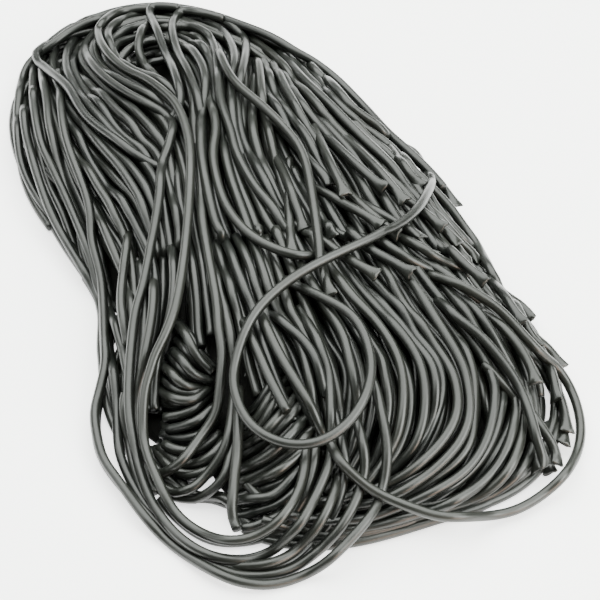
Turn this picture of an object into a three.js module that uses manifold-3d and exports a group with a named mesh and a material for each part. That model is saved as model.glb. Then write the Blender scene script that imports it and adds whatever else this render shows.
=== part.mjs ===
// A loose heap of black licorice spaghetti: one long hank of soft laces, dropped on a flat surface.
// Millimetres, +Z up. The origin is on that surface, under the middle of the heap.
// The heap is one solid: a low rounded body, with the laces that show fused onto it.

import * as THREE from "three";
import { mergeVertices } from "three/addons/utils/BufferGeometryUtils.js";
import Module from "manifold-3d";

const wasm = await Module();
wasm.setup();

// Driving sizes
const laceWidth = 4;
const laceRadius = laceWidth / 2;
const laceSides = 5;
const laceStep = 18; // length of one straight stretch of a lace
const fewestSteps = 6;
const mostSteps = 19;
const crownHeight = 46;
const farStart = 90; // beyond this Y the heap gets lower, by farDrop over farLength
const farLength = 100;
const farDrop = 8;
const bodyInset = 2; // the body's top lies this far under the heap's outline
const laceSink = 1; // how deep a lace presses into what it lies on
const nearMiss = 12; // how close a line of sight passes over the far side to count as touching it
const heapMiddle = new THREE.Vector2(-8.4, 33.75); // moved to the origin at the end

// The heap's footprint: its radius every 22.5 degrees from +X, round this centre
const footCentre = new THREE.Vector2(0, 15);
const footRadii = [85, 81, 87, 102, 148, 200, 188, 122, 88, 90, 106, 122, 134, 133, 137, 116];

// The body's mesh
const bodyAngles = 26;
const bodyRings = [0.35, 0.6, 0.78, 0.9, 0.97];
const bodyBottom = -1;

// Laces are drawn on a level sheet at this height, as seen from the eye point, and dropped
// from there along the line of sight.
const sheetHeight = 25;
const eye = new THREE.Vector3(0, -620, 680);

// Laces on top of the heap, each a curve through points on the sheet, lowest first
const topRoutes = [
  // loose loops that hang out over the near end and lie on the surface
  [[-109, 133], [-105, 100], [-97, 70], [-88, 38], [-82, 5], [-78, -35], [-79, -70], [-66, -108],
    [-38, -141], [-8, -149.5], [20, -129], [32, -95], [28, -62], [25, -48]],
  [[-98, 150], [-95, 134], [-80, 119], [-57, 92], [-61, 60], [-62, 25], [-67, -12], [-68, -55], [-64, -92],
    [-47, -123], [-20, -139.5], [5, -119], [13, -85], [9, -40], [-16, -10]],
  [[-86, 176], [-94, 163], [-83, 140], [-57, 113], [-47.5, 75], [-47, 40], [-48.5, 0], [-56, -33],
    [-61.5, -70], [-51, -107], [-24, -129.5], [-1, -109], [4, -78]],
  // the turn at the far end
  [[46, 82], [20, 121], [-5, 158], [-42, 178], [-85, 179], [-113, 168], [-122, 147], [-104, 121], [-89, 95],
    [-52, 58]],
  [[4, 110], [-20, 150], [-52, 173], [-84, 173], [-106, 157], [-105, 133], [-78, 98]],
  [[-58, 186], [-70.5, 177], [-61, 145], [-53, 113], [-60, 96]],
  [[-36, 178], [-56, 175], [-56, 146], [-45, 112], [-42, 96]],
  // single laces across the top
  [[-36, 10], [-32, -32], [-34, -66], [-52, -98]],
  [[-27, -30], [-25, -66], [-24.5, -102], [-23.5, -128]],
  [[40, 80], [61, 49], [74, 21], [87, -4], [93, -22]],
  [[55, -8], [74, -31], [87, -58], [94, -98]],
  [[-37, 96], [-35, 58], [-21, 28], [1, 15.5], [16, 18]],
  [[-39, 148], [-28, 122], [-8, 96], [4, 62], [8, 22], [14, -10]],
  [[52, 6], [80, -13], [101, -44], [108.5, -78], [94, -106.5], [62, -117.5], [30, -107.5], [13, -90], [9, -80]],
  // the round loop, drawn in two halves because it crosses itself
  [[36, 97], [57, 66], [43, 35], [8, 12], [-19, -18], [-26, -56]],
  [[-26, -56], [-8, -84], [19, -74], [28, -38], [9, -7], [-8, 3]],
];

// Laces of the heap's upper side, spread evenly over it
const lowerRoutes = [
  // diagonals at the far left
  [[-112, 140], [-106, 106], [-86, 77], [-64, 48], [-52, 16], [-45, -22], [-40, -38]],
  [[-120, 132], [-111, 92], [-92, 58], [-73, 30], [-61, 0], [-55, -34], [-56, -48]],
  // the left side
  [[-121, 156], [-126, 118], [-112, 83], [-98, 46], [-85, 10], [-77, -26], [-74, -66], [-64, -103], [-52, -120]],
  // lengthwise along the middle
  [[-66, 172], [-54, 138], [-44, 96], [-43, 46], [-36, 0], [-28, -34], [-31, -84], [-47, -110]],
  [[-28, 168], [-22, 132], [-10, 92], [5, 62], [20, 34], [30, 26]],
  [[-18, 162], [-4, 128], [12, 94], [29, 66], [48, 42], [64, 20], [72, 6]],
  [[-16, 167], [10, 136], [30, 101], [49, 75], [64, 46], [77, 12], [89, -16]],
  // the right side
  [[14, 50], [38, 28], [60, 6], [78, -16], [95, -40], [98, -54]],
  // arcs round the near right
  [[-12, 2], [10, -18], [31, -38], [36, -68], [28, -92], [20, -103]],
  [[8, 8], [32, -18], [50, -43], [51.5, -69], [37, -96], [14, -114]],
  [[26, 4], [54, -24], [72, -49], [75, -78], [58, -107], [28, -127], [12, -130]],
  [[44, 2], [68, -21], [83, -47], [88, -76], [78, -104], [50, -123], [12, -132]],
  // arcs round the near left
  [[-58, -62], [-44, -96], [-18, -98], [4, -80], [10, -66]],
];

// Laces round the foot of the heap: share of the footprint's radius, first angle and sweep in degrees
const lapRoutes = [
  [0.985, -20, 95],
  [0.985, 150, 75],
  [0.9, 15, 95],
];

// A closed Catmull-Rom curve through the footprint's radii, at an angle in radians
function footRadius(angle) {
  const count = footRadii.length;
  const place = ((((angle / (2 * Math.PI)) * count) % count) + count) % count;
  const first = Math.floor(place);
  const along = place - first;
  const [before, start, end, after] = [-1, 0, 1, 2].map((k) => footRadii[(first + k + count) % count]);
  const bend = 2 * before - 5 * start + 4 * end - after;
  const twist = 3 * start - before - 3 * end + after;
  return 0.5 * (2 * start + (end - before) * along + bend * along ** 2 + twist * along ** 3);
}

// A soft round dent of this depth in the top of the heap
function dent(x, y, [middleX, middleY], [reachX, reachY], depth) {
  return depth * Math.exp(-(((x - middleX) / reachX) ** 2) - ((y - middleY) / reachY) ** 2);
}

// Height of the heap's outline over a point of the surface that it lies on
function heapHeight(x, y) {
  const dx = x - footCentre.x;
  const dy = y - footCentre.y;
  const share = Math.hypot(dx, dy) / footRadius(Math.atan2(dy, dx));
  const rounded = Math.max(1 - share ** 2.6, 0) ** 0.6;
  const farEnd = farDrop * Math.min(Math.max((y - farStart) / farLength, 0), 1) ** 1.5;
  const hollow = dent(x, y, [-42, -75], [18, 26], 12);
  const eyelet = dent(x, y, [-70, 140], [12, 16], 10);
  return Math.max(rounded * (crownHeight - farEnd - hollow - eyelet), 0);
}

// What has been laid so far, as heights over a grid of 1 mm cells
const laid = new Map();

function surfaceHeight(x, y) {
  const heap = heapHeight(x, y) - bodyInset;
  return Math.max(heap, laid.get(`${Math.round(x)},${Math.round(y)}`) ?? 0, 0);
}

function markLaid(point) {
  for (let i = -2; i <= 2; i += 1) {
    for (let j = -2; j <= 2; j += 1) {
      const rise = laceRadius ** 2 - i ** 2 - j ** 2;
      if (rise >= 0) {
        const cell = `${Math.round(point.x) + i},${Math.round(point.y) + j}`;
        laid.set(cell, Math.max(laid.get(cell) ?? 0, point.z + Math.sqrt(rise)));
      }
    }
  }
}

// The point at height z on the line of sight through a point of the sheet
function onSight(sheetPoint, z) {
  const rise = (z - sheetHeight) / (sheetHeight - eye.z);
  return new THREE.Vector3(
    sheetPoint.x + (sheetPoint.x - eye.x) * rise,
    sheetPoint.y + (sheetPoint.y - eye.y) * rise,
    z,
  );
}

// Height at which a lace on the line of sight first touches what lies under it. A line that
// just clears the far side of the heap counts as touching it at its nearest point.
function touchHeight(sheetPoint) {
  const lift = laceRadius - laceSink;
  let nearest = { gap: nearMiss, z: laceRadius };
  for (let z = crownHeight + 3 * laceWidth; z > laceRadius; z -= 0.5) {
    const point = onSight(sheetPoint, z);
    const surface = surfaceHeight(point.x, point.y);
    if (surface + lift >= z) {
      return z;
    }
    if (point.y > farStart && surface > laceWidth && z - surface < nearest.gap) {
      nearest = { gap: z - surface, z };
    }
  }
  return nearest.z;
}

// A lace doesn't follow every dip: its heights are evened out along it
function evened(heights, reach) {
  return heights.map((_, k) => {
    const near = heights.slice(Math.max(k - reach, 0), k + reach + 1);
    return Math.max(near.reduce((sum, z) => sum + z, 0) / near.length, laceRadius);
  });
}

// Marks a lace as laid and thins its points, which are 1 mm apart, to the steps of its mesh
function laceCurve(points) {
  points.forEach(markLaid);
  const steps = Math.min(Math.max(Math.round(points.length / laceStep), fewestSteps), mostSteps);
  const kept = [];
  for (let k = 0; k <= steps; k += 1) {
    kept.push(points[Math.round((k / steps) * (points.length - 1))]);
  }
  return kept;
}

function layFromSheet(route) {
  const drawn = new THREE.CatmullRomCurve3(route.map(([x, y]) => new THREE.Vector3(x, y, 0)));
  const onSheet = drawn.getSpacedPoints(Math.round(drawn.getLength()));
  const heights = evened(evened(onSheet.map(touchHeight), 5), 3);
  return laceCurve(onSheet.map((point, k) => onSight(point, heights[k])));
}

function layLap([share, firstDegree, sweep]) {
  const plan = [];
  for (let k = 0; k <= sweep; k += 1) {
    const angle = THREE.MathUtils.degToRad(firstDegree + k);
    const radius = footRadius(angle) * share - laceRadius;
    plan.push(new THREE.Vector3(footCentre.x + radius * Math.cos(angle), footCentre.y + radius * Math.sin(angle), 0));
  }
  const curve = new THREE.CatmullRomCurve3(plan);
  const points = curve.getSpacedPoints(Math.round(curve.getLength()));
  const heights = points.map((point) => surfaceHeight(point.x, point.y) + laceRadius - laceSink);
  const even = evened(heights, 5);
  points.forEach((point, k) => {
    point.z = even[k];
  });
  return laceCurve(points);
}

// A solid from rings of points, each ring closed by its last point meeting its first
function solidFromRings(rings, firstCap, lastCap) {
  const sides = rings[0].length;
  const vertices = [...rings.flat(), firstCap, lastCap];
  const faces = [];
  for (let r = 0; r + 1 < rings.length; r += 1) {
    for (let s = 0; s < sides; s += 1) {
      const next = (s + 1) % sides;
      const [a, b] = [r * sides + s, r * sides + next];
      faces.push(a, b, b + sides, a, b + sides, a + sides);
    }
  }
  const first = rings.length * sides;
  const lastRing = (rings.length - 1) * sides;
  for (let s = 0; s < sides; s += 1) {
    const next = (s + 1) % sides;
    faces.push(first, next, s, first + 1, lastRing + s, lastRing + next);
  }
  const geometry = new THREE.BufferGeometry();
  geometry.setAttribute("position", new THREE.Float32BufferAttribute(vertices.flatMap((v) => [v.x, v.y, v.z]), 3));
  geometry.setIndex(faces);
  return toManifold(geometry);
}

function toManifold(geometry) {
  const clean = geometry.clone();
  clean.deleteAttribute("normal");
  clean.deleteAttribute("uv");
  const merged = mergeVertices(clean);
  const vertProperties = new Float32Array(merged.getAttribute("position").array);
  const triVerts = new Uint32Array(merged.getIndex().array);
  return new wasm.Manifold(new wasm.Mesh({ numProp: 3, vertProperties, triVerts }));
}

// A lace of even width through the points, with one flat side down
function laceSolid(points) {
  const rings = points.map((point, k) => {
    const ahead = points[Math.min(k + 1, points.length - 1)].clone().sub(points[Math.max(k - 1, 0)]).normalize();
    const side = new THREE.Vector3(0, 0, 1).cross(ahead).normalize();
    const up = ahead.clone().cross(side);
    return Array.from({ length: laceSides }, (_, s) => {
      const angle = ((s + 0.5) / laceSides) * 2 * Math.PI - Math.PI / 2;
      return point
        .clone()
        .addScaledVector(side, laceRadius * Math.cos(angle))
        .addScaledVector(up, laceRadius * Math.sin(angle));
    });
  });
  return solidFromRings(rings, points[0], points[points.length - 1]);
}

// The rounded body under the laces
function bodySolid() {
  const ringAt = (share, heightAt) =>
    Array.from({ length: bodyAngles }, (_, k) => {
      const angle = (k / bodyAngles) * 2 * Math.PI;
      const radius = footRadius(angle) * share - (share > 0.9 ? bodyInset : 0);
      const x = footCentre.x + radius * Math.cos(angle);
      const y = footCentre.y + radius * Math.sin(angle);
      return new THREE.Vector3(x, y, heightAt(x, y));
    });
  const top = (x, y) => Math.max(heapHeight(x, y) - bodyInset, 0.5);
  const outermost = bodyRings[bodyRings.length - 1];
  const rings = [ringAt(outermost, () => bodyBottom), ...[...bodyRings].reverse().map((share) => ringAt(share, top))];
  const centre = new THREE.Vector3(footCentre.x, footCentre.y, 0);
  const bottomMiddle = centre.clone().setZ(bodyBottom);
  const topMiddle = centre.clone().setZ(top(centre.x, centre.y));
  return solidFromRings(rings, bottomMiddle, topMiddle);
}

// The largest closed shell of a mesh: sealed hollows are filled and loose scraps dropped
function largestShell(mesh) {
  const { vertProperties, triVerts, numProp } = mesh;
  const parent = Array.from({ length: vertProperties.length / numProp }, (_, k) => k);
  const rootOf = (k) => {
    while (parent[k] !== k) {
      parent[k] = parent[parent[k]];
      k = parent[k];
    }
    return k;
  };
  for (let t = 0; t < triVerts.length; t += 3) {
    parent[rootOf(triVerts[t])] = rootOf(triVerts[t + 1]);
    parent[rootOf(triVerts[t + 1])] = rootOf(triVerts[t + 2]);
  }
  const shells = new Map();
  for (let t = 0; t < triVerts.length; t += 3) {
    const root = rootOf(triVerts[t]);
    shells.set(root, [...(shells.get(root) ?? []), triVerts[t], triVerts[t + 1], triVerts[t + 2]]);
  }
  return [...shells.values()].reduce((best, faces) => (faces.length > best.length ? faces : best));
}

const solids = [bodySolid()];
for (const route of lapRoutes) {
  solids.push(laceSolid(layLap(route)));
}
for (const route of [...lowerRoutes, ...topRoutes]) {
  solids.push(laceSolid(layFromSheet(route)));
}

// Everything over the surface that the heap lies on, so that its underside is flat
const room = new THREE.BoxGeometry(600, 600, 200);
room.translate(0, 0, 100);
const joined = solids.reduce((sum, solid) => sum.add(solid)).intersect(toManifold(room));

const joinedMesh = joined.getMesh();
const heapGeometry = new THREE.BufferGeometry();
heapGeometry.setAttribute("position", new THREE.Float32BufferAttribute(joinedMesh.vertProperties, 3));
heapGeometry.setIndex(largestShell(joinedMesh));
heapGeometry.computeVertexNormals();

const licorice = new THREE.MeshStandardMaterial({ color: 0x1c1d1b, roughness: 0.4, metalness: 0 });
const heap = new THREE.Mesh(heapGeometry, licorice);
heap.name = "lace_heap";
heap.position.set(-heapMiddle.x, -heapMiddle.y, 0);

const licoriceSpaghetti = new THREE.Group();
licoriceSpaghetti.add(heap);

export default licoriceSpaghetti;
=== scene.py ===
import math

import bpy
import numpy as np
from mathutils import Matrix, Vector


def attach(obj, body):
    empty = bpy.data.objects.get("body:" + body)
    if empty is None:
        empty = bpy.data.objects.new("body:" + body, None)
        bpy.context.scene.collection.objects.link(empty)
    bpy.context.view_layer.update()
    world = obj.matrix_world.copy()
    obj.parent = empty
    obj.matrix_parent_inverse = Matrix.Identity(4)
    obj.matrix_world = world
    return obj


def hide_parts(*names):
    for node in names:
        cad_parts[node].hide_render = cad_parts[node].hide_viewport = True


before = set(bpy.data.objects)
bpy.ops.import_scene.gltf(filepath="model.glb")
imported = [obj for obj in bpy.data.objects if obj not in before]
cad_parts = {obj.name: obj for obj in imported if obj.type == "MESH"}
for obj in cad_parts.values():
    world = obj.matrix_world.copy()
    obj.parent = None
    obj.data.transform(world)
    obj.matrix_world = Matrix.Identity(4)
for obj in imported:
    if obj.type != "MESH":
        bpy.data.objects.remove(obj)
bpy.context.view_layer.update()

# A loose hank of black licorice laces. Lengths are in millimetres, and MM makes them metres.
MM = 0.001
LACE_WIDTH = 4.0
RADIUS = LACE_WIDTH / 2

# The heap's outline: its footprint's radii round FOOT_CENTRE, from +X anticlockwise, and its crown.
FOOT_CENTRE = np.array([0.0, 15.0])
FOOT_RADII = [85, 81, 87, 102, 148, 200, 188, 122, 88, 90, 106, 122, 134, 133, 137, 116]
CROWN = 46.0
WALL_POWER, CROWN_POWER = 2.6, 0.6  # the powers of its section, for steep walls and a flat top
FAR_START, FAR_LENGTH, FAR_DROP, FAR_POWER = 90.0, 100.0, 8.0, 1.5  # it sinks towards the far end
FAR_SIDE = 10.0  # the walls beyond this y face away from the eye

# Dents in the outline: x, y, half-widths and depth.
DENTS = [
    (-42, -75, 18, 26, 15),
    (-70, 140, 12, 16, 10),
    (-39, -106, 11, 9, CROWN),
]
BARE = (-38, -106, 13, 11)  # a patch of floor that shows between the laces: x, y, half-widths

# The middle of the heap in the lengths above, which is the origin of the part.
HEAP_MIDDLE = np.array([-8.4, 33.75, 0.0])

# Routes are drawn as the eye sees them on a level sheet, and each lace drops along the line of sight.
EYE = np.array([0.0, -620.0, 680.0])
TARGET = np.array([0.0, 0.0, 15.0])
LENS, SENSOR = 132.0, 36.0
SHEET_Z = 25.0
SIGHT_TOP, SIGHT_STEP = 70.0, 0.5  # where the way down a line of sight starts, and its steps
NEAR_MISS = 12.0  # how far over the far end a line of sight may pass and still carry a lace
SIGHT_EASE = 14

# Curves. A lace's points are STEP apart while it is laid, so that counts of points are lengths.
# Each EASE is how far to both sides a value is smoothed along a lace.
STEP = 1.0
SPAN_POINTS = 16
LEAST_POINTS = 4
GUIDE_POINTS = 160
ROUTE_EASE = 10
WAVES = (1.0, 0.53, 0.31)  # the lengths of a drift's waves, as shares of the longest
WAVE_DIVISOR = 1.1
PHASES = 6.28  # about a full turn, in radians
TINY = 1e-9
SAME_PLACE = 1e-6

# How laces lie on each other.
EMPTY = 1e3  # a height that no lace reaches
GRID_EDGE = 1.001  # in cells, to stay inside the last row
LAYER_STEP = 3.1
MOST_DIP, DIP_REACH, DIP_EASE = 4.6, 3, 10  # a lace's dip under those over it
LEAST_SEAT = RADIUS - 1  # the least height that the outline gives a lace, before its lift
DEEPEST = 4.5  # beyond FAR_SIDE, how far a lace may sink below where its line of sight meets the heap
ROOM_REACH, ROOM_EASE = 5, 8  # short crowded spots don't break a lace
WHOLE = 1e6  # the squeeze of a lace that is never broken where it is crowded
LEAST_LENGTH = 34  # the shortest stretch that is laid of a lace with a place of its own, or half a short one
RUN_ON, RUN_DIVE, RUN_POWER = 36, 11.0, 1.2  # how a stretch runs on, down between the others
RUN_COUNTED = 0.2  # the share of it that takes room from them
DIVE, DIVE_LENGTH, DIVE_POWER = 8.0, 45.0, 1.6  # how the ends of a lace go down
TAPER, TOP_TAPER, TIP_TAPER = 0.25, 0.07, 0.7  # the most of a lace's length that an end goes down over
LOWEST_EASE = 8
FAR_GAP = 1  # beyond FAR_SIDE, how far over the outline a lace may stay

# A height on a line of sight is refined in rounds, each by a share of what is missing, up to a most.
REFINE_ROUNDS, REFINE_SHARE, REFINE_MOST, REFINE_EASE = 4, 0.7, 5, 4

# Moves towards the heap's middle: their size, their number, and how far they are smoothed.
MOVE_STEP = 0.5
FAR_MOVES, FAR_EASE = 20, 10
BARE_MOVES, BARE_EASE = 60, 8

# How laces near the floor are raised onto those under them.
MOST_RISE, RISE_REACH, RISE_EASE = 9, 4, 12
RAISED_BELOW = 14
CARRIES_BELOW = 18

# Each layer: how far a lace may press into those over it, the shortest stretch that is laid, and
# how far laces drift sideways.
LAYERS = [(1.5, 70, 0.8), (2.0, 60, 1.6), (2.0, 45, 2.2), (2.0, 34, 2.6)]
SEED = 7
ORDERED_LAYERS = 2  # the layers whose laces are laid side by side in turn
SIDE_JITTER = 0.28
LIFT_JITTER = (-0.6, 0.4)
DRIFT_WAVES = (80, 160)

# The lace that leads up to a cut end: its length, its bend in radians, and its lift.
TIP_LENGTHS, TIP_BEND, TIP_LIFTS = (40, 60), 0.2, (1.5, 3.0)

# Laps round the foot of the heap, in shares of the footprint's radius and degrees.
LAP_LAYERS, LAPS, FIRM_LAPS = 3, 18, 4
LAP_FIRST, LAP_PITCH, LAP_POWER, LAP_WIDEST = 0.975, 0.0085, 1.25, 0.99
LAP_TURNS, LAP_SWEEPS = (0, 115, 240), (100, 150)
LAP_DRIFT, LAP_WAVE, LAP_WAVES = 0.02, 0.004, 3
LAP_TUCK, TUCK_SHARE, TUCK_POWER = 0.16, 0.16, 1.5  # how far in its ends turn, and over what share of it
LAP_SQUEEZE, LAP_SHORTEST = 0.8, 70
POINTS_A_DEGREE = 2.5

# Meshes. Laces are joined into a few pieces.
MESH_SEED = 11
LACE_SIDES = 12
MESH_STEP = 2.6
FULL_PIECE = 180000  # a joined piece takes no more laces once it has more triangles
GIRTH_CHANGE, GIRTH_WAVE = 0.02, 17
FLARE_LENGTH, FLARE_WIDE, FLARE_FLAT, FLARE_POWER, FLARE_TWIST = 6.5, 0.65, 0.55, 1.5, 0.8
RAGGED, RAGGED_BACK = (-0.7, 0.9), 0.9  # how a cut end's rim stands out and back
CAP_SIZE, CAP_OUT = 0.72, 0.35
FLOOR_GAP = 0.05  # the lowest that any lace reaches
CORE_DEPTH, CORE_RIM, CORE_FOOT = 18.0, 1.5, 0.3
CORE_SPOKES, CORE_RINGS, CORE_STEP = 120, 40, 0.5

# Looks. Licorice lies between two tints, and clouds in its skin set a roughness between two values.
TINTS = ((0.004, 0.005, 0.004, 1), (0.009, 0.010, 0.008, 1))
ROUGHNESS, CLOUD_RANGE = (0.3, 0.42), (0.3, 0.7)
CLOUD_SCALE, CLOUD_DETAIL = 60, 3
PORE_SCALE, PORE_DETAIL, PORE_STRENGTH, PORE_DEPTH = 900, 2, 0.12, 0.0002
# The core's tints and matte skin: near black and darker than the laces, painted shade where the gaps between
# laces show it.
CORE_SHADE_TINTS = ((0.002, 0.002, 0.002, 1), (0.006, 0.006, 0.005, 1))
CORE_ROUGHNESS, CORE_SPECULAR, CORE_SCALE, CORE_DETAIL = 0.8, 0.1, 120, 2
FLOOR_COLOUR, FLOOR_ROUGHNESS, FLOOR_GLOW = (0.9, 0.9, 0.9, 1), 0.6, 1.6
WHITE = (1, 1, 1, 1)

# Studio: lengths in metres. Each lamp has a place, a size, its power in watts and its colour.
FLOOR_SIZE = 8
SOFT_WHITE, WARM = (0.96, 1.0, 0.95), (1.0, 0.72, 0.55)
LAMPS = {
    "overhead": ((0.0, 0.35, 1.0), (1.9, 1.7), 78, SOFT_WHITE),
    "left": ((-1.1, -0.1, 0.7), (0.8, 0.8), 8, SOFT_WHITE),
    "right": ((1.0, -0.5, 0.75), (0.9, 0.9), 38, SOFT_WHITE),
    "warm": ((0.7, -0.9, 0.25), (0.5, 0.3), 7, WARM),
}
WORLD_LIGHT = 0.14
CLIP_START = 0.01

# Laces on top of the heap: route, and how far they stand over the outline.
TOPS = {
    "loop": ([
        (4, 137), (16, 118), (29, 101), (50, 78), (57, 66), (54, 51), (43, 35), (8, 12), (-8, -2),
        (-19, -18), (-25, -38), (-26, -56), (-20, -74), (-8, -84), (6, -84.5), (19, -74), (27, -56),
        (28, -38), (22, -19), (9, -7), (-8, 3),
    ], 4.0),
    "front": ([
        (52, 6), (66, -1), (80, -13), (92, -31), (101, -44), (107, -60), (108.5, -78), (104, -94),
        (94, -107), (78, -118), (56, -120), (47, -118), (31, -110), (25, -105), (15, -93), (11, -82),
    ], 3.0),
    "cross": ([
        (-39, 148), (-35, 136), (-28, 122), (-18, 110), (-8, 96), (0, 81), (4, 62), (8, 22), (8.5, 8),
        (12, -2), (14, -10),
    ], 2.0),
    "inner": ([
        (-67, 176), (-73, 177), (-86, 173), (-93, 161), (-89, 146), (-78, 132), (-70, 127), (-57, 113),
        (-51, 98), (-47.5, 75), (-47.5, 30), (-50, -9), (-55, -31), (-58, -39), (-59, -47), (-61, -58),
        (-60, -83), (-54, -102), (-46, -119), (-34, -129), (-22, -131), (-10, -124), (-1, -108),
        (2, -92), (2, -84.5),
    ], 2.5),
    "centre_top": ([
        (-58, 186), (-67, 184), (-70.5, 177), (-67, 163), (-56, 128), (-53, 113), (-55, 104),
        (-60, 96),
    ], 2.0),
    "centre_two": ([
        (-36, 178), (-48, 181), (-56, 175), (-59, 162), (-56, 146), (-50, 130), (-45, 112), (-42, 96),
    ], 1.0),
    "thin": ([
        (-68, 172), (-74, 150), (-69, 134), (-61, 122),
    ], 1.5),
    "far_one": ([
        (-85, 135), (-80, 145.5), (-70.5, 152.5), (-58.5, 152.5), (-48, 143.5), (-42.5, 127),
        (-43.5, 96.5), (-42.5, 74.5), (-37, 41.5), (-32, 20),
    ], 1.5),
    "sweep": ([
        (-43, 125.5), (-37, 96), (-38, 78), (-35, 58), (-30, 42), (-21, 28), (-9, 19), (1, 15.5),
        (16, 18),
    ], 1.5),
    "arch": ([
        (63, 56), (57, 66), (47, 82), (36, 96), (8, 140), (-5, 158), (-22, 170.5), (-42, 178),
        (-62, 181), (-85, 179), (-104, 175), (-113, 168), (-121, 157), (-122, 147), (-116, 134),
        (-104, 121), (-98, 108), (-89, 95), (-59, 67.5),
    ], 2.0),
    "edge": ([
        (40, 80), (61, 49), (68, 35), (80, 8), (92, -14), (93, -22),
    ], 2.0),
    "bright": ([
        (55, -8), (64, -20), (74, -31), (87, -58), (94, -98),
    ], 1.5),
    "tail": ([
        (-24, -55), (-24, -88), (-25, -98), (-25, -107), (-26, -115), (-23, -127),
    ], 1.5),
    "hook": ([
        (-45.5, 86), (-42, 52), (-41, 35), (-34, -10), (-33, -24), (-31, -38), (-32, -64), (-33, -71),
        (-37, -78), (-40, -85), (-44, -90), (-47, -95), (-52, -99), (-58, -100),
    ], 1.5),
    "hook_two": ([
        (-36, 12), (-27, -34), (-26, -63), (-28, -83), (-31, -92), (-39, -105), (-43, -109),
        (-51, -107), (-55, -103),
    ], 1.0),
    "hook_three": ([
        (-24, -68), (-28, -98), (-36, -110), (-41, -112), (-51, -109), (-54, -106),
    ], 0.5),
    "inner_lower": ([
        (-53, -110), (-49, -117), (-38, -128), (-27, -132), (-10, -128), (0, -114), (5, -96.5),
        (6, -84),
    ], 0.5),
    "slant": ([
        (-17, -14), (-13, -26), (-7, -41.5), (0, -56.5), (6.5, -70.5), (10.5, -82), (13, -88),
    ], 1.0),
    "slant_two": ([
        (-15.5, -14.5), (-8, -21.5), (-1, -28), (5, -37.5), (8.5, -49), (10.5, -62),
    ], 0.5),
    "stub": ([
        (-24, -19), (-18, -34), (-12, -51.5), (-4.5, -70),
    ], 1.0),
    "far_inner": ([
        (-64, 172), (-78, 171), (-88, 162), (-88, 155), (-83, 140), (-78, 134), (-59, 122), (-52, 110),
    ], 1.5),
    "second": ([
        (-98, 150), (-95, 134), (-80, 119), (-64, 107), (-55.5, 98), (-57, 86), (-60, 68), (-60, 49),
        (-64, 2), (-67, -20), (-67, -63), (-62, -93), (-56, -112), (-51, -121), (-46, -128),
        (-35, -137), (-21, -140), (-9, -135), (-4, -128), (2, -119), (10, -98), (12, -89), (12, -63),
        (11, -46), (8, -34), (-1, -12),
    ], 1.0),
    "far_left": ([
        (-90, 158), (-95, 148), (-91, 134), (-80, 124), (-67, 116), (-55, 104),
    ], 0.5),
    "far_two": ([
        (-70.5, 159), (-64.5, 161.5), (-50.5, 164), (-44.5, 160), (-40.5, 154), (-38.5, 145.5),
        (-35.5, 113), (-30, 91), (-28, 79.5), (-20, 58.5), (-9.5, 41), (-1.5, 23),
    ], 1.0),
    "far_three": ([
        (-54.5, 169), (-47, 167.5), (-40, 164), (-34.5, 158), (-29.5, 141.5), (-31, 123), (-28.5, 91),
        (-23, 71.5),
    ], 0.5),
    "far_four": ([
        (-46.5, 171.5), (-39.5, 169.5), (-32.5, 165), (-24.5, 151), (-27, 123), (-27, 100.5),
        (-22.5, 79), (-10, 49.5), (-6.5, 39.5),
    ], 0.5),
    "short": ([
        (-72, 30), (-73, -9), (-70, -26), (-69, -36),
    ], 1.0),
    "beside": ([
        (-60, 5), (-60, -20), (-64, -60), (-63, -80), (-60, -90), (-58, -100), (-54, -110),
    ], 0.5),
    "second_lower": ([
        (-68, -58), (-69, -65), (-64, -93), (-61, -102), (-58, -112), (-48, -128), (-35, -139),
        (-28, -142), (-13, -142), (-6, -139), (0, -134), (10, -117), (15, -99),
    ], 0.5),
    "outer": ([
        (-109, 133), (-103, 90), (-90, 48), (-87, 25), (-81.5, 2), (-78, -34), (-77, -43), (-79, -61),
        (-80, -70), (-76, -90), (-71, -99), (-51, -129), (-28, -147), (-12.5, -151), (-0.5, -147.5),
        (11.5, -139), (27, -118), (30.5, -109), (33.5, -87), (30, -58), (26, -43),
    ], 0.5),
    "left_mid": ([
        (-119.5, 122), (-117.5, 105.5), (-112.5, 83), (-107, 69), (-100, 51.5), (-94, 35.5), (-87, 16),
        (-83, -1), (-77, -16), (-72.5, -30), (-69, -44), (-67, -54),
    ], 0.5),
    "left_low": ([
        (-122.5, 109), (-120.5, 92.5), (-116.5, 76.5), (-112, 61), (-105.5, 41.5), (-96, 21), (-85, -1),
        (-80, -15), (-77, -31),
    ], 0.5),
    "rim_high": ([
        (-83, -4), (-73, -52), (-70, -83), (-68, -93), (-60, -111), (-45, -131), (-32, -141),
        (-18, -144), (-4, -141), (2, -135), (12, -120), (17, -100), (17, -89), (13, -67),
    ], 0.5),
    "rim": ([
        (-77, -52), (-79, -73), (-75, -93), (-60, -115), (-55, -120), (-44, -133), (-31, -142),
        (-25, -146), (-18, -147), (-5, -145), (2, -140), (12, -129), (21, -112), (25, -92), (21, -69),
    ], 0.5),
}
# Of these, the ones whose last end shows, and the ones where it is flared by the cut.
SHOWN_ENDS = ("edge", "bright", "stub")
FLARED_ENDS = ("edge", "bright")

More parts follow.
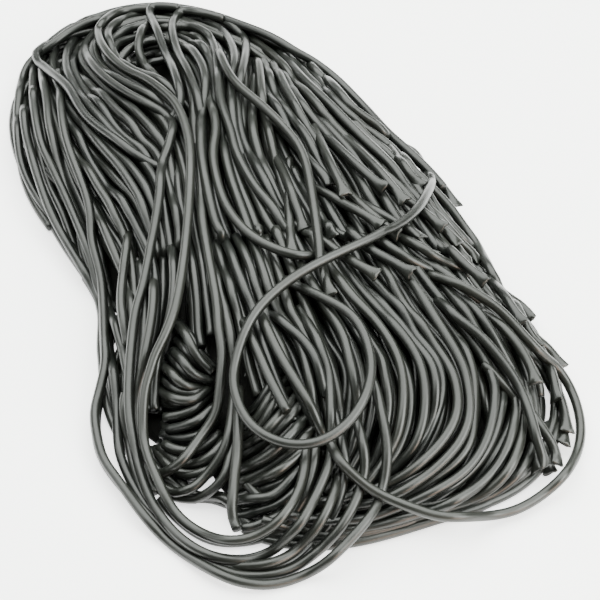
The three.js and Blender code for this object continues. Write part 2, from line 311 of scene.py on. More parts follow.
# Round the far end, then diagonally down to the middle.
TURN = [
    [(16, 118), (-1, 143), (-11, 155), (-34, 169), (-70, 178), (-98, 177), (-116, 164), (-119, 139),
     (-101, 73), (-86, 38), (-70, -15), (-71, -58), (-66, -88)],
    [(16, 118), (-1, 143), (-11, 155), (-34, 169), (-70, 178), (-84, 178), (-106, 172), (-114, 163),
     (-117, 139), (-100, 86), (-77, 43), (-66, 8), (-64, -26), (-66, -68), (-63, -88)],
    [(16, 118), (-1, 143), (-11, 155), (-34, 169), (-70, 178), (-83, 176), (-104, 171), (-115, 156),
     (-116, 134), (-109, 107), (-85, 58), (-78, 48), (-64, 12), (-60, -22), (-64, -64), (-59, -94)],
    [(13, 114), (-4, 139), (-25, 158), (-57, 172), (-67, 175), (-89, 170), (-104, 156), (-107, 135),
     (-100, 111), (-85, 88), (-63, 58), (-53, 1), (-60, -50), (-60, -84)],
    [(9, 110), (-7, 133), (-26, 152), (-64, 171), (-83, 167), (-91, 162), (-99, 146), (-98, 136),
     (-86, 118), (-77, 109), (-63, 89), (-55, 68), (-42, -26), (-37, -46)],
    [(0, 112), (-14, 134), (-30, 151), (-47, 162), (-65, 167), (-82, 161), (-92, 148), (-88, 134),
     (-58, 104), (-50, 84), (-43, 25), (-36, -19), (-34, -43)],
    [(-7, 112), (-19, 135), (-26, 145), (-46, 160), (-55, 163), (-73, 160), (-83, 147), (-77, 134),
     (-54, 114), (-45, 91), (-42, 60), (-29, -22), (-26, -52)],
]
# Down the left side.
LEFT = [
    [(-88, 179), (-102, 177), (-119, 161), (-126, 134), (-126, 89), (-116, 54), (-87, 2), (-79, -23),
     (-78, -37)],
    [(-87, 177), (-100, 173), (-110, 166), (-119, 149), (-117, 111), (-106, 62), (-96, 38), (-78, -20),
     (-77, -34)],
    [(-86, 175), (-98, 169), (-107, 160), (-114, 143), (-114, 127), (-109, 106), (-107, 92), (-94, 55),
     (-79, -4), (-74, -42)],
]
# Down the middle and into the near end.
CENTRE = [
    [(-76, 131), (-73, 138), (-64, 143), (-58, 140), (-51, 127), (-47, 107), (-46, 80), (-34, -23),
     (-26, -60)],
    [(-82, 135), (-80, 143), (-74, 149), (-58, 151), (-47, 139), (-42, 118), (-40, 40), (-27, -43),
     (-25, -65)],
    [(-85, 142), (-82, 150), (-76, 155), (-59, 157), (-44, 146), (-39, 126), (-38, 67), (-33, 36),
     (-16, -22), (7, -90)],
    [(-88, 149), (-83, 156), (-67, 163), (-41, 155), (-36, 119), (-30, 80), (-16, 30), (-6, -15),
     (5, -37), (12, -83), (10, -98)],
    [(-55, 167), (-38, 161), (-29, 143), (-30, 99), (-22, 60), (-16, 46), (-9, 36), (8, -9), (18, -31),
     (23, -58), (20, -83), (6, -117)],
    [(-46, 170), (-36, 166), (-28, 159), (-25, 150), (-24, 126), (-24, 87), (-12, 49), (0, 26),
     (26, -31), (28, -45), (30, -59), (26, -84), (16, -106), (9, -116)],
    [(-36, 169), (-27, 163), (-20, 153), (-17, 126), (-16, 99), (-6, 49), (17, -2), (30, -24),
     (38, -50), (37, -77), (28, -100), (8, -122)],
]
# Down the right side, then round the near right.
RIGHT = [
    CENTRE[-1],
    [(-46, 175), (-34, 172), (-27, 164), (-24, 150), (-17, 112), (21, 10), (48, -32), (53, -57),
     (46, -83), (26, -106), (14, -114)],
    [(-42, 173), (-29, 167), (-11, 144), (4, 110), (28, 64), (42, 32), (79, -45), (81, -76),
     (66, -106), (30, -124), (12, -126), (-6, -122), (-20, -113)],
    [(-58, 176), (-42, 174), (-27, 167), (-14, 154), (15, 108), (42, 68), (72, 12), (89, -36),
     (90, -84), (72, -111), (30, -127), (12, -130), (-6, -127), (-22, -120)],
]
# Along the far right edge.
EDGE = [
    [(-76, 178), (-43, 176), (-13, 159), (28, 97), (47, 71), (89, -14)],
    [(-66, 170), (-36, 166), (-14, 142), (12, 98), (40, 57), (77, -13)],
]
# Across to the right, where the cut ends lie.
EAST = [
    [(14, 50), (50, 17), (78, -16), (91, -40), (94, -54), (93, -70)],
    [(16, 16), (30, 13), (62, -6), (77, -28), (84, -56), (83, -70)],
]
# Arcs in the hollow at the near left.
HOLLOW = [
    [(-46, -9), (-41, -19), (-37, -29), (-32, -47)],
    [(-51, -26), (-45, -37), (-36, -49), (-33, -51)],
    [(-55, -39), (-46, -52), (-40, -56), (-34, -54)],
    [(-56, -47), (-52, -54), (-42, -60), (-34, -51)],
    [(-56.5, -56), (-50, -66), (-39, -62), (-35, -52)],
    [(-56, -67.5), (-52, -70), (-43, -66), (-38, -60), (-34, -50)],
    [(-56, -76.5), (-51, -77), (-41, -75), (-31, -64)],
    [(-55, -82), (-45, -91), (-34, -85), (-29, -77)],
    [(-58, -83), (-52, -92), (-45, -98), (-38, -98), (-32, -92), (-27, -83)],
    [(-56, -91), (-50, -100), (-42, -105), (-36, -104), (-25, -87)],
]
# Arcs inside the round loop, at the near end.
NEST = [
    [(-25, -72), (-21, -69), (-12, -56), (-6, -46)],
    [(-26, -80), (-21, -77), (-11, -62), (-4, -52), (0, -48)],
    [(-26, -88), (-20, -85), (-8, -70), (0, -58), (4, -53)],
    [(-27, -96), (-20, -93), (-7, -80), (3, -66), (7, -61)],
    [(-27, -103), (-20, -102), (-6, -90), (5, -76), (9, -70)],
    [(-27, -111), (-12, -106), (-2, -96), (8, -82), (11, -77)],
    [(-26, -116), (-19, -116), (-6, -109), (0, -100)],
    [(-26, -122), (-13, -120), (-6, -115), (0, -108)],
    [(-25, -126), (-18, -126), (-7, -120), (-2, -114)],
]

# Guides, laces in a layer, and how uneven their ends are.
FAMILIES = [
    (EDGE, 5, 10),
    (EAST, 6, 18),
    (LEFT, 6, 8),
    (TURN, 20, 20),
    (RIGHT, 14, 20),
    (CENTRE, 28, 20),
    (HOLLOW, 16, 4),
    (NEST, 13, 4),
]

# Cut ends that show: the tip, the way it points, and the way its lace comes, in degrees from +X.
TIPS = [
    (45, 47, -62, -62), (20, 51, -70, -70), (35, 33, -42, -42), (42, 26, -50, -50),
    (52, 26, -38, -38), (61, 31, -52, -52), (67, 22, -55, -55), (75, 12, -58, -58),
    (77, 0, -50, -50), (71, 6, -35, -35), (57, 14, -40, -40), (47, 5, -40, -40),
    (33, 4, -35, -35), (14, 27, -65, -65), (2, 30, -78, -78), (-3, 18, -84, -84),
    (14, 56, -62, -62), (53, 56, -58, -58), (37, 55, -48, -48), (68, 45, -62, -62),
    (13, -8, -78, -78), (90, -24, -72, -48), (95, -36, -75, -48), (93, -55, -84, -48),
    (104, -47, -70, -48), (100, -64, -95, -52), (103, -80, -92, -52), (101, -86, -98, -52),
    (90, -99, -96, -52), (95, -100, -84, -52), (98, -96, -90, -52),
]


# The heap's outline

def through(a, b, c, d, f):
    """The point at f of the way from b to c on the smooth curve through a, b, c and d."""
    return 0.5 * (2 * b + (c - a) * f + (2 * a - 5 * b + 4 * c - d) * f**2 + (3 * b - a - 3 * c + d) * f**3)


def foot_radius(theta):
    count = len(FOOT_RADII)
    turn = (theta / (2 * np.pi) * count) % count
    i = np.floor(turn).astype(int)
    r = np.array(FOOT_RADII, float)
    return through(r[(i - 1) % count], r[i % count], r[(i + 1) % count], r[(i + 2) % count], turn - i)


def share(x, y):
    """How far out a point lies: 0 at the footprint's centre and 1 on its edge."""
    dx, dy = x - FOOT_CENTRE[0], y - FOOT_CENTRE[1]
    return np.hypot(dx, dy) / foot_radius(np.arctan2(dy, dx))


def envelope(x, y):
    """The heap's height over the floor."""
    body = np.clip(1 - share(x, y)**WALL_POWER, 0, None) ** CROWN_POWER
    height = CROWN - FAR_DROP * np.clip((y - FAR_START) / FAR_LENGTH, 0, 1) ** FAR_POWER
    for cx, cy, wx, wy, depth in DENTS:
        height = height - depth * np.exp(-(((x - cx) / wx) ** 2 + ((y - cy) / wy) ** 2))
    return np.maximum(body * height, 0)


def in_bare(x, y, margin=0):
    """Whether a point is on the bare patch, or within a margin of it."""
    return np.hypot((x - BARE[0]) / (BARE[2] + margin), (y - BARE[1]) / (BARE[3] + margin)) < 1


# Curves

def resample(c, step=None, n=None):
    """The same curve with its points evenly apart, by a step or by their number."""
    s = np.concatenate([[0], np.cumsum(np.linalg.norm(np.diff(c, axis=0), axis=1))])
    if n is None:
        n = max(int(round(s[-1] / step)) + 1, LEAST_POINTS)
    u = np.linspace(0, s[-1], n)
    return np.stack([np.interp(u, s, c[:, k]) for k in range(c.shape[1])], 1)


def smooth(v, reach):
    kernel = np.hanning(2 * reach + 3)[1:-1]
    kernel /= kernel.sum()
    return np.convolve(np.pad(v, reach, mode="edge"), kernel, mode="valid")


def spread(v, reach, ease, pick):
    """The least or the most of a value within reach of each point, smoothed."""
    pad = np.pad(v, reach, mode="edge")
    wide = pick([pad[k:k + len(v)] for k in range(2 * reach + 1)], axis=0)
    return smooth(wide, ease)


def spline(points):
    """A smooth route through points."""
    p = np.array(points, float)
    p = np.vstack([2 * p[0] - p[1], p, 2 * p[-1] - p[-2]])
    f = np.linspace(0, 1, SPAN_POINTS, endpoint=False)[:, None]
    spans = [through(*p[i - 1:i + 3], f) for i in range(1, len(p) - 2)]
    c = resample(np.vstack(spans + [p[-2][None]]), step=STEP)
    return np.stack([smooth(c[:, k], ROUTE_EASE) for k in range(2)], 1)


def wander(rng, n, amount, wave):
    """A slow sideways drift along a lace."""
    s = np.arange(n)
    total = np.zeros(n)
    for k in WAVES:
        total += k**2 * np.sin(2 * np.pi * s / (wave * k) + rng.uniform(0, 2 * np.pi))
    return amount * total / WAVE_DIVISOR


def sideways(c):
    """The level direction across a lace at each of its points."""
    d = np.gradient(c[:, :2], axis=0)
    d /= np.linalg.norm(d, axis=1, keepdims=True) + TINY
    return np.stack([-d[:, 1], d[:, 0]], 1)


def between(guides, f):
    """A lace's route between two neighbouring guides."""
    k = min(int(f), len(guides) - 2)
    a, b = (resample(spline(g), n=GUIDE_POINTS) for g in guides[k:k + 2])
    return a * (1 - f + k) + b * (f - k)


# The pile, laid from its top lace down

class Pile:
    """What is laid so far, as grids of heights for the centre line of the next lace.

    base is just inside the heap's outline, roof is under every lace, crowd is under those that take
    room from others, and ground is over those near the floor.
    """
    cell = 0.5
    low = np.array([-155.0, -175.0])
    high = np.array([140.0, 225.0])

    def __init__(self):
        n = ((self.high - self.low) / self.cell).astype(int) + 1
        xs = self.low[0] + np.arange(n[0]) * self.cell
        ys = self.low[1] + np.arange(n[1]) * self.cell
        outline = envelope(*np.meshgrid(xs, ys, indexing="ij"))
        k = int(RADIUS / self.cell)
        self.base = np.full(outline.shape, EMPTY)
        for i in range(-k, k + 1):
            for j in range(-k, k + 1):
                d = math.hypot(i, j) * self.cell
                if d <= RADIUS:
                    under = np.roll(outline, (i, j), (0, 1)) - math.sqrt(RADIUS * RADIUS - d * d)
                    self.base = np.minimum(self.base, under)
        self.roof = np.full(outline.shape, EMPTY)
        self.crowd = np.where(in_bare(xs[:, None], ys[None]), -EMPTY, EMPTY)
        self.ground = np.full(outline.shape, RADIUS)
        k = int(LACE_WIDTH / self.cell)
        ox, oy = np.meshgrid(np.arange(-k, k + 1), np.arange(-k, k + 1), indexing="ij")
        near = np.hypot(ox, oy) * self.cell < LACE_WIDTH
        self.off = np.stack([ox[near], oy[near]], 1)

    def sample(self, grid, xy):
        i = np.clip((xy - self.low) / self.cell, 0, np.array(grid.shape) - GRID_EDGE)
        a = i.astype(int)
        f = i - a
        left = grid[a[:, 0], a[:, 1]] * (1 - f[:, 0]) + grid[a[:, 0] + 1, a[:, 1]] * f[:, 0]
        right = grid[a[:, 0], a[:, 1] + 1] * (1 - f[:, 0]) + grid[a[:, 0] + 1, a[:, 1] + 1] * f[:, 0]
        return left * (1 - f[:, 1]) + right * f[:, 1]

    def hang(self, xy, lift):
        """A lace's height: on the outline, or dipping under the laces that lie over it."""
        own = np.maximum(self.sample(self.base, xy), LEAST_SEAT) + lift
        z = np.clip(self.sample(self.roof, xy), own - MOST_DIP, own)
        return np.maximum(spread(z, DIP_REACH, DIP_EASE, np.min), RADIUS)

    def cells_near(self, c):
        """The cells within a lace's width of a lace, and how far off in height laces touch there."""
        middle = np.round((c[:, :2] - self.low) / self.cell).astype(int)
        cells = middle[:, None, :] + self.off[None]
        ok = np.all((cells >= 0) & (cells < np.array(self.roof.shape)), axis=2)
        at = self.low + cells * self.cell
        d2 = ((at - c[:, None, :2]) ** 2).sum(2)
        ok &= d2 < LACE_WIDTH**2
        flat = cells[..., 0] * self.roof.shape[1] + cells[..., 1]
        return flat, np.sqrt(np.clip(LACE_WIDTH**2 - d2, 0, None)), ok

    def lay(self, xy, lift, squeeze, shortest, lowest=RADIUS):
        """Lays a lace wherever it has room, and returns its stretches, which run on under the others.

        A stretch's points hold x, y, z and the height under what was laid before it.
        """
        z = np.maximum(self.hang(xy, lift), lowest)
        ceiling = self.sample(self.roof, xy)
        room = self.sample(self.crowd, xy) > z - squeeze
        room = spread(room.astype(float), ROOM_REACH, ROOM_EASE, np.max) > 0.5
        edges = np.flatnonzero(np.diff(np.concatenate([[0], room.astype(int), [0]])))
        laid = []
        s = np.arange(len(xy))
        for a, b in edges.reshape(-1, 2):
            if b - a < shortest:
                continue
            out = np.clip(np.maximum(a - s, s - b + 1) / RUN_ON, 0, 1)
            height = z - RUN_DIVE * out**RUN_POWER
            first, last = max(a - RUN_ON, 0), min(b + RUN_ON, len(xy))
            c = np.column_stack([xy, np.maximum(height, RADIUS), ceiling])[first:last]
            laid.append(c)
            flat, reach, ok = self.cells_near(c)
            under = c[:, None, 2] - reach
            np.minimum.at(self.roof.ravel(), flat[ok], under[ok])
            if squeeze < WHOLE:
                ok &= (out[first:last] < RUN_COUNTED)[:, None]
                np.minimum.at(self.crowd.ravel(), flat[ok], under[ok])
        return laid

    def settle(self, c):
        """Raises what lies near the floor onto the laces under it, but not through those over it."""
        seat = np.minimum(self.sample(self.ground, c[:, :2]), c[:, 3])
        need = np.clip(seat - c[:, 2], 0, MOST_RISE)
        need[c[:, 2] > RAISED_BELOW] = 0
        rise = spread(need, RISE_REACH, RISE_EASE, np.max)
        c = c[:, :3].copy()
        c[:, :2] += (c[:, :2] - EYE[:2]) / (c[:, 2:] - EYE[2]) * rise[:, None]
        c[:, 2] += rise
        flat, reach, ok = self.cells_near(c)
        low = ok & (c[:, None, 2] < CARRIES_BELOW)
        z = c[:, None, 2] + reach
        np.maximum.at(self.ground.ravel(), flat[low], z[low])
        return c


def drop(sheet, lift):
    """The height where each line of sight meets the heap, or comes nearest to it at the far end."""
    slope = (sheet - EYE[:2]) / (SHEET_Z - EYE[2])
    found = np.full(len(sheet), RADIUS)
    best_gap = np.full(len(sheet), NEAR_MISS)
    best_z = np.full(len(sheet), RADIUS)
    done = np.zeros(len(sheet), bool)
    for z in np.arange(SIGHT_TOP, RADIUS - SIGHT_STEP / 2, -SIGHT_STEP):
        p = sheet + slope * (z - SHEET_Z)
        e = envelope(p[:, 0], p[:, 1])
        hit = ~done & (e + lift >= z)
        found[hit] = z
        done |= hit
        near = (z - e < best_gap) & (e > LACE_WIDTH) & (p[:, 1] > FAR_SIDE)
        best_gap[near] = (z - e)[near]
        best_z[near] = z
    missed = ~done & (best_gap < NEAR_MISS)
    found[missed] = best_z[missed]
    return found, slope


def on_sight(sheet, slope, z):
    """Where the lines of sight through a route on the sheet are at the heights z."""
    return sheet + slope * (z - SHEET_Z)[:, None]


def move_in(xy, astray, moves, ease):
    """How far each point moves towards the heap's middle, by small moves while it is astray."""
    inward = FOOT_CENTRE - xy
    inward /= np.linalg.norm(inward, axis=1, keepdims=True)
    amount = np.zeros(len(xy))
    for _ in range(moves):
        amount[astray(xy + inward * amount[:, None])] += MOVE_STEP
    return inward * smooth(amount, ease)[:, None]


def onto_heap(xy, z):
    """How far a lace that lies just beyond the far side moves in to rest on it."""
    def off_the_side(at):
        return (xy[:, 1] > FAR_SIDE) & (envelope(at[:, 0], at[:, 1]) < z)
    return move_in(xy, off_the_side, FAR_MOVES, FAR_EASE)


def clear_of_bare(xy):
    """How far a route moves in where it would cross the bare patch."""
    def on_the_patch(at):
        return in_bare(at[:, 0], at[:, 1], RADIUS)
    return move_in(xy, on_the_patch, BARE_MOVES, BARE_EASE)


def dive(n, end=True, taper=TAPER):
    """How far a lace's start, and its end too if it is hidden, go down between the others."""
    s = np.arange(n, dtype=float)
    length = min(DIVE_LENGTH, n * taper)
    down = np.clip(1 - s / length, 0, 1) ** DIVE_POWER
    if end:
        down += np.clip(1 - (n - 1 - s) / length, 0, 1) ** DIVE_POWER
    return -DIVE * down


def lay_seen(pile, sheet, lift, squeeze, end=True, shortest=LEAST_LENGTH, taper=TAPER):
    """Lays a lace where the eye sees its route on the sheet."""
    way_down = dive(len(sheet), end, taper)
    z, slope = drop(sheet, lift + way_down - RADIUS)
    z = smooth(z, SIGHT_EASE)
    lowest = np.where(on_sight(sheet, slope, z)[:, 1] > FAR_SIDE, z - DEEPEST, RADIUS)
    for _ in range(REFINE_ROUNDS):
        xy = on_sight(sheet, slope, z)
        hung = np.maximum(pile.hang(xy, lift + way_down), lowest)
        z = smooth(z + np.clip(hung - z, -REFINE_MOST, REFINE_MOST) * REFINE_SHARE, REFINE_EASE)
    xy = on_sight(sheet, slope, z)
    xy += onto_heap(xy, z - max(lift, 0.0) - FAR_GAP)
    apart = np.linalg.norm(np.diff(xy, axis=0), axis=1) > SAME_PLACE
    route = np.column_stack([xy, lowest])[np.concatenate([[True], apart])]
    route = resample(route, step=STEP)
    xy, lowest = route[:, :2], smooth(route[:, 2], LOWEST_EASE)
    way_down = dive(len(xy), end, taper)
    return pile.lay(xy, lift + way_down, squeeze, min(shortest, len(xy) / 2), lowest)


def lap(rng, t0, t1, start, sweep):
    """An arc round the heap, from t0 to t1 of the footprint's radius."""
    n = int(sweep * POINTS_A_DEGREE)
    theta = np.radians(np.linspace(start, start + sweep, n))
    t = t0 + (t1 - t0) * np.linspace(0, 1, n)
    t = t + LAP_WAVE * np.sin(theta * LAP_WAVES + rng.uniform(0, PHASES))
    to_end = np.minimum(np.linspace(0, 1, n), np.linspace(1, 0, n))
    t = t - LAP_TUCK * np.clip(1 - to_end / TUCK_SHARE, 0, 1) ** TUCK_POWER
    r = foot_radius(theta) * np.minimum(t, LAP_WIDEST)
    c = np.stack([FOOT_CENTRE[0] + r * np.cos(theta), FOOT_CENTRE[1] + r * np.sin(theta)], 1)
    c = resample(c, step=STEP)
    return c + clear_of_bare(c)


def marked(parts, flared=False):
    """Each stretch of a lace with whether its end is flared, which only the last one's can be."""
    return [(c, flared and c is parts[-1]) for c in parts]


def lay_tops(pile):
    laces = []
    for name, (points, lift) in TOPS.items():
        parts = lay_seen(pile, spline(points), lift, WHOLE, end=name not in SHOWN_ENDS, taper=TOP_TAPER)
        laces += marked(parts, name in FLARED_ENDS)
    return laces


def lay_tips(pile, rng):
    laces = []
    for x, y, heading, before in TIPS:
        length = rng.uniform(*TIP_LENGTHS)
        s = np.arange(length, -STEP / 2, -STEP)
        bend = np.radians(before - heading) + rng.uniform(-TIP_BEND, TIP_BEND)
        angle = np.radians(heading) + bend * s / length
        way = np.stack([np.cos(angle), np.sin(angle)], 1)
        points = np.array([x, y]) - np.cumsum(way[::-1], axis=0)[::-1]
        parts = lay_seen(pile, points, rng.uniform(*TIP_LIFTS), WHOLE, end=False, taper=TIP_TAPER)
        laces += marked(parts, flared=True)
    return laces


def lay_family(pile, rng, layer, guides, count, ends):
    """One layer's laces between neighbouring guides."""
    laces = []
    squeeze, shortest, drift = LAYERS[layer]
    half = 0.5 * (layer == 1)
    for k in np.arange(count) if layer < ORDERED_LAYERS else rng.permutation(count):
        f = (k + 0.5 + rng.uniform(-SIDE_JITTER, SIDE_JITTER) + half) / count * (len(guides) - 1)
        if f >= len(guides) - 1:
            continue
        sheet = resample(between(guides, f), step=STEP)
        first, last = rng.uniform(0, ends, 2).astype(int)
        sheet = sheet[first:len(sheet) - last]
        aside = wander(rng, len(sheet), drift, rng.uniform(*DRIFT_WAVES))
        sheet = sheet + sideways(sheet) * aside[:, None]
        lift = -LAYER_STEP * layer + rng.uniform(*LIFT_JITTER)
        laces += marked(lay_seen(pile, sheet, lift, squeeze, shortest=shortest))
    return laces


def lay_laps(pile, rng, layer):
    """One layer's laps round the foot of the heap."""
    laces = []
    half = 0.5 * (layer == 1)
    for k in range(LAPS):
        t = LAP_FIRST - LAP_PITCH * (k + half) ** LAP_POWER
        start = rng.uniform(0, 360)
        squeeze = WHOLE if layer == 0 and k < FIRM_LAPS else LAP_SQUEEZE
        for turn in LAP_TURNS:
            t_end = t + rng.uniform(-LAP_DRIFT, LAP_DRIFT)
            route = lap(rng, t, t_end, start + turn, rng.uniform(*LAP_SWEEPS))
            lift = -LAYER_STEP * layer + dive(len(route))
            laces += marked(pile.lay(route, lift, squeeze, LAP_SHORTEST))
    return laces


def heap_of_laces():
    """Every lace as (its points, whether its end is flared), the lowest first."""
    rng = np.random.default_rng(SEED)
    pile = Pile()
    laces = lay_tops(pile) + lay_tips(pile, rng)
    for layer in range(len(LAYERS)):
        for guides, count, ends in FAMILIES:
            laces += lay_family(pile, rng, layer, guides, count, ends)
    for layer in range(LAP_LAYERS):
        laces += lay_laps(pile, rng, layer)
    return [(pile.settle(c), flared) for c, flared in reversed(laces)]


# Meshes

def to_part(points):
    return (points - HEAP_MIDDLE) * MM


def frames_along(c):
    """Tangent, side and up at each point of a lace."""
    t = np.gradient(c, axis=0)
    t /= np.linalg.norm(t, axis=1, keepdims=True)
    side = np.cross(t, [0, 0, 1])
    side /= np.linalg.norm(side, axis=1, keepdims=True) + TINY
    up = np.cross(side, t)
    return t, side, up


def tube(c, flared, rng):
    """A lace's rings of vertices and its faces, with a blunt or a flared cut end."""
    c = resample(c, step=MESH_STEP)
    t, side, up = frames_along(c)
    s = np.concatenate([[0], np.cumsum(np.linalg.norm(np.diff(c, axis=0), axis=1))])
    left = s[-1] - s
    wide = RADIUS * (1 + GIRTH_CHANGE * np.sin(s / GIRTH_WAVE + rng.uniform(0, PHASES)))
    flat = wide.copy()
    if flared:
        f = np.clip(1 - left / FLARE_LENGTH, 0, 1) ** FLARE_POWER
        wide = wide * (1 + FLARE_WIDE * f)
        flat = flat * (1 - FLARE_FLAT * f)
    angle = np.linspace(0, 2 * np.pi, LACE_SIDES, endpoint=False)
    twist = rng.uniform(-FLARE_TWIST, FLARE_TWIST) * flared
    roll = np.clip(1 - left / (2 * FLARE_LENGTH), 0, 1) * twist
    across = side * np.cos(roll)[:, None] + up * np.sin(roll)[:, None]
    above = up * np.cos(roll)[:, None] - side * np.sin(roll)[:, None]
    rings = (c[:, None, :]
             + across[:, None, :] * (wide[:, None] * np.cos(angle))[..., None]
             + above[:, None, :] * (flat[:, None] * np.sin(angle))[..., None])
    if flared:
        ragged = rng.uniform(*RAGGED, LACE_SIDES) - RAGGED_BACK * np.abs(np.sin(angle))
        rings[-1] += t[-1] * ragged[:, None]
    start, end = (c[k] + (rings[k] - c[k]) * CAP_SIZE + t[k] * out * CAP_OUT for k, out in ((0, -1), (-1, 1)))
    rings = np.concatenate([start[None], rings, end[None]])
    verts = rings.reshape(-1, 3)
    verts[:, 2] = np.maximum(verts[:, 2], FLOOR_GAP)
    i = np.arange(len(rings) - 1)[:, None] * LACE_SIDES
    j = np.arange(LACE_SIDES)[None]
    k = (j + 1) % LACE_SIDES
    quads = np.stack([i + j, i + k, i + k + LACE_SIDES, i + j + LACE_SIDES], -1).reshape(-1, 4)
    return verts, quads[:, ::-1]


def add_mesh(name, verts, faces, material):
    mesh = bpy.data.meshes.new(name)
    mesh.from_pydata(to_part(verts).tolist(), [], faces)
    mesh.polygons.foreach_set("use_smooth", [True] * len(mesh.polygons))
    mesh.update()
    mesh.materials.append(material)
    piece = bpy.data.objects.new(name, mesh)
    bpy.context.scene.collection.objects.link(piece)
    return piece


def lace_meshes(laces, material):
    """The laces as joined meshes, each with a number that sets its tint."""
    rng = np.random.default_rng(MESH_SEED)
    pieces, verts, faces, tints, total = [], [], [], [], 0
    for number, (c, flared) in enumerate(laces):
        v, quads = tube(c, flared, rng)
        faces += (quads + total).tolist()
        faces.append(list(range(total, total + LACE_SIDES)))
        faces.append(list(range(total + len(v) - LACE_SIDES, total + len(v)))[::-1])
        verts.append(v)
        tints.append(np.full(len(v), rng.uniform(0, 1)))
        total += len(v)
        triangles = 2 * total
        if triangles > FULL_PIECE or number == len(laces) - 1:
            piece = add_mesh(f"laces_{len(pieces) + 1}", np.concatenate(verts), faces, material)
            lace = piece.data.attributes.new("lace", "FLOAT", "POINT")
            lace.data.foreach_set("value", np.concatenate(tints))
            pieces.append(piece)
            verts, faces, tints, total = [], [], [], 0
    return pieces


def core_reach(angle):
    """How far from the footprint's centre the core stays under the laces."""
    r = np.arange(0, foot_radius(angle), CORE_STEP)
    height = envelope(FOOT_CENTRE[0] + r * np.cos(angle), FOOT_CENTRE[1] + r * np.sin(angle))
    return r[height > CORE_DEPTH + CORE_RIM][-1]


def core_mesh(material):
    """The inside of the heap, which closes the gaps between the laces; its near-black colour is painted shade
    in those gaps.
    """
    theta = np.linspace(0, 2 * np.pi, CORE_SPOKES, endpoint=False)
    reach = np.array([core_reach(angle) for angle in theta])
    verts = []
    for t in np.linspace(0, 1, CORE_RINGS + 1)[1:]:
        r = reach * t
        x, y = FOOT_CENTRE[0] + r * np.cos(theta), FOOT_CENTRE[1] + r * np.sin(theta)
        verts += list(zip(x, y, np.maximum(envelope(x, y) - CORE_DEPTH, CORE_RIM)))
    verts += [(x, y, CORE_FOOT) for x, y, _ in verts[-CORE_SPOKES:]]
    top, bottom = len(verts), len(verts) + 1
    verts.append((*FOOT_CENTRE, float(envelope(*FOOT_CENTRE)) - CORE_DEPTH))
    verts.append((*FOOT_CENTRE, CORE_FOOT))
    faces = []
    for ring in range(CORE_RINGS):
        for k in range(CORE_SPOKES):
            a, b = ring * CORE_SPOKES + k, ring * CORE_SPOKES + (k + 1) % CORE_SPOKES
            faces.append((a, a + CORE_SPOKES, b + CORE_SPOKES, b))
    last = CORE_RINGS * CORE_SPOKES
    for k in range(CORE_SPOKES):
        faces.append((top, k, (k + 1) % CORE_SPOKES))
        faces.append((bottom, last + (k + 1) % CORE_SPOKES, last + k))
    return add_mesh("core", np.array(verts, float), faces, material)


# Materials

def nodes_of(name):
    """A new material with its node tree and its surface shader."""
    material = bpy.data.materials.new(name)
    material.use_nodes = True
    tree = material.node_tree
    return material, tree, tree.nodes["Principled BSDF"]


def noise(tree, scale, detail, place=None):
    texture = tree.nodes.new("ShaderNodeTexNoise")
    texture.inputs["Scale"].default_value = scale
    texture.inputs["Detail"].default_value = detail
    if place is not None:
        tree.links.new(place, texture.inputs["Vector"])
    return texture.outputs["Fac"]


def tint(tree, tints, factor):
    """A colour between two tints."""
    mix = tree.nodes.new("ShaderNodeMix")
    mix.data_type = "RGBA"
    mix.inputs["A"].default_value, mix.inputs["B"].default_value = tints
    tree.links.new(factor, mix.inputs["Factor"])
    return mix.outputs["Result"]


def licorice():
    """Black licorice: each lace has a tint of its own, a satin skin with soft clouds, and pores."""
    material, tree, skin = nodes_of("licorice")
    link = tree.links.new
    place = tree.nodes.new("ShaderNodeTexCoord").outputs["Object"]
    lace = tree.nodes.new("ShaderNodeAttribute")
    lace.attribute_name = "lace"
    link(tint(tree, TINTS, lace.outputs["Fac"]), skin.inputs["Base Color"])

    rough = tree.nodes.new("ShaderNodeMapRange")
    for key, value in zip(("From Min", "From Max", "To Min", "To Max"), CLOUD_RANGE + ROUGHNESS):
        rough.inputs[key].default_value = value
    link(noise(tree, CLOUD_SCALE, CLOUD_DETAIL, place), rough.inputs["Value"])
    link(rough.outputs["Result"], skin.inputs["Roughness"])

    bump = tree.nodes.new("ShaderNodeBump")
    bump.inputs["Strength"].default_value = PORE_STRENGTH
    bump.inputs["Distance"].default_value = PORE_DEPTH
    link(noise(tree, PORE_SCALE, PORE_DETAIL, place), bump.inputs["Height"])
    link(bump.outputs["Normal"], skin.inputs["Normal"])
    return material


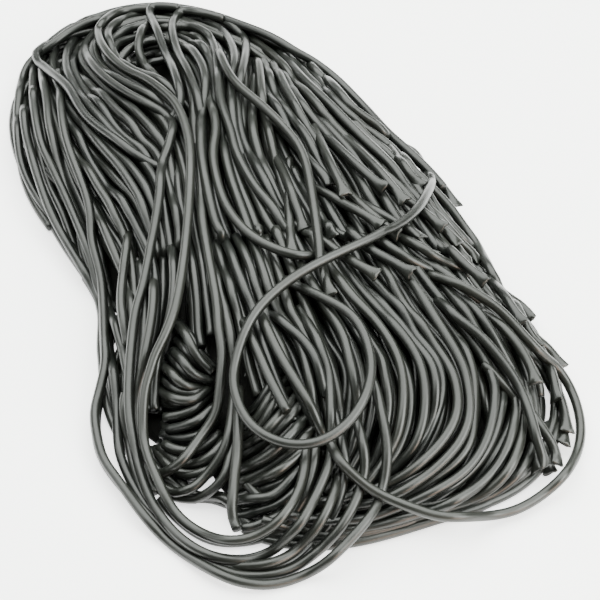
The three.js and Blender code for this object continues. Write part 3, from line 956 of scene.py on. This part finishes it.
def painted_shade_core():
    # Painted shade: a near-black matte skin for the core, which shows as the dark gaps between the laces.
    material, tree, skin = nodes_of("licorice_shadow")
    skin.inputs["Roughness"].default_value = CORE_ROUGHNESS
    skin.inputs["Specular IOR Level"].default_value = CORE_SPECULAR
    cloud = noise(tree, CORE_SCALE, CORE_DETAIL)
    tree.links.new(tint(tree, CORE_SHADE_TINTS, cloud), skin.inputs["Base Color"])
    return material


def pale_floor():
    material, _, skin = nodes_of("floor")
    skin.inputs["Base Color"].default_value = FLOOR_COLOUR
    skin.inputs["Roughness"].default_value = FLOOR_ROUGHNESS
    skin.inputs["Emission Color"].default_value = WHITE
    skin.inputs["Emission Strength"].default_value = FLOOR_GLOW
    return material


# The part

pieces = lace_meshes(heap_of_laces(), licorice())
pieces.append(core_mesh(painted_shade_core()))
for piece in pieces:
    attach(piece, "root")
    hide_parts("lace_heap")


# Floor, lights and camera

bpy.ops.mesh.primitive_plane_add(size=FLOOR_SIZE)
floor = bpy.context.object
floor.name = "floor"
floor.data.materials.append(pale_floor())


def aim(thing, place, target):
    thing.location = place
    thing.rotation_euler = (Vector(target) - Vector(place)).to_track_quat("-Z", "Y").to_euler()


def soft_light(name, place, size, power, colour):
    light = bpy.data.lights.new(name, "AREA")
    light.shape = "RECTANGLE"
    light.size, light.size_y = size
    light.energy = power
    light.color = colour
    lamp = bpy.data.objects.new(name, light)
    bpy.context.scene.collection.objects.link(lamp)
    aim(lamp, place, (0, 0, 0))


for name, (place, size, power, colour) in LAMPS.items():
    soft_light(name, place, size, power, colour)

world = bpy.data.worlds.new("studio")
bpy.context.scene.world = world
world.use_nodes = True
world.node_tree.nodes["Background"].inputs["Color"].default_value = WHITE
world.node_tree.nodes["Background"].inputs["Strength"].default_value = WORLD_LIGHT

camera = bpy.data.objects.new("camera", bpy.data.cameras.new("camera"))
camera.data.sensor_width = SENSOR
camera.data.lens = LENS
camera.data.clip_start = CLIP_START
bpy.context.scene.collection.objects.link(camera)
aim(camera, tuple(to_part(EYE)), tuple(to_part(TARGET)))
bpy.context.scene.camera = camera
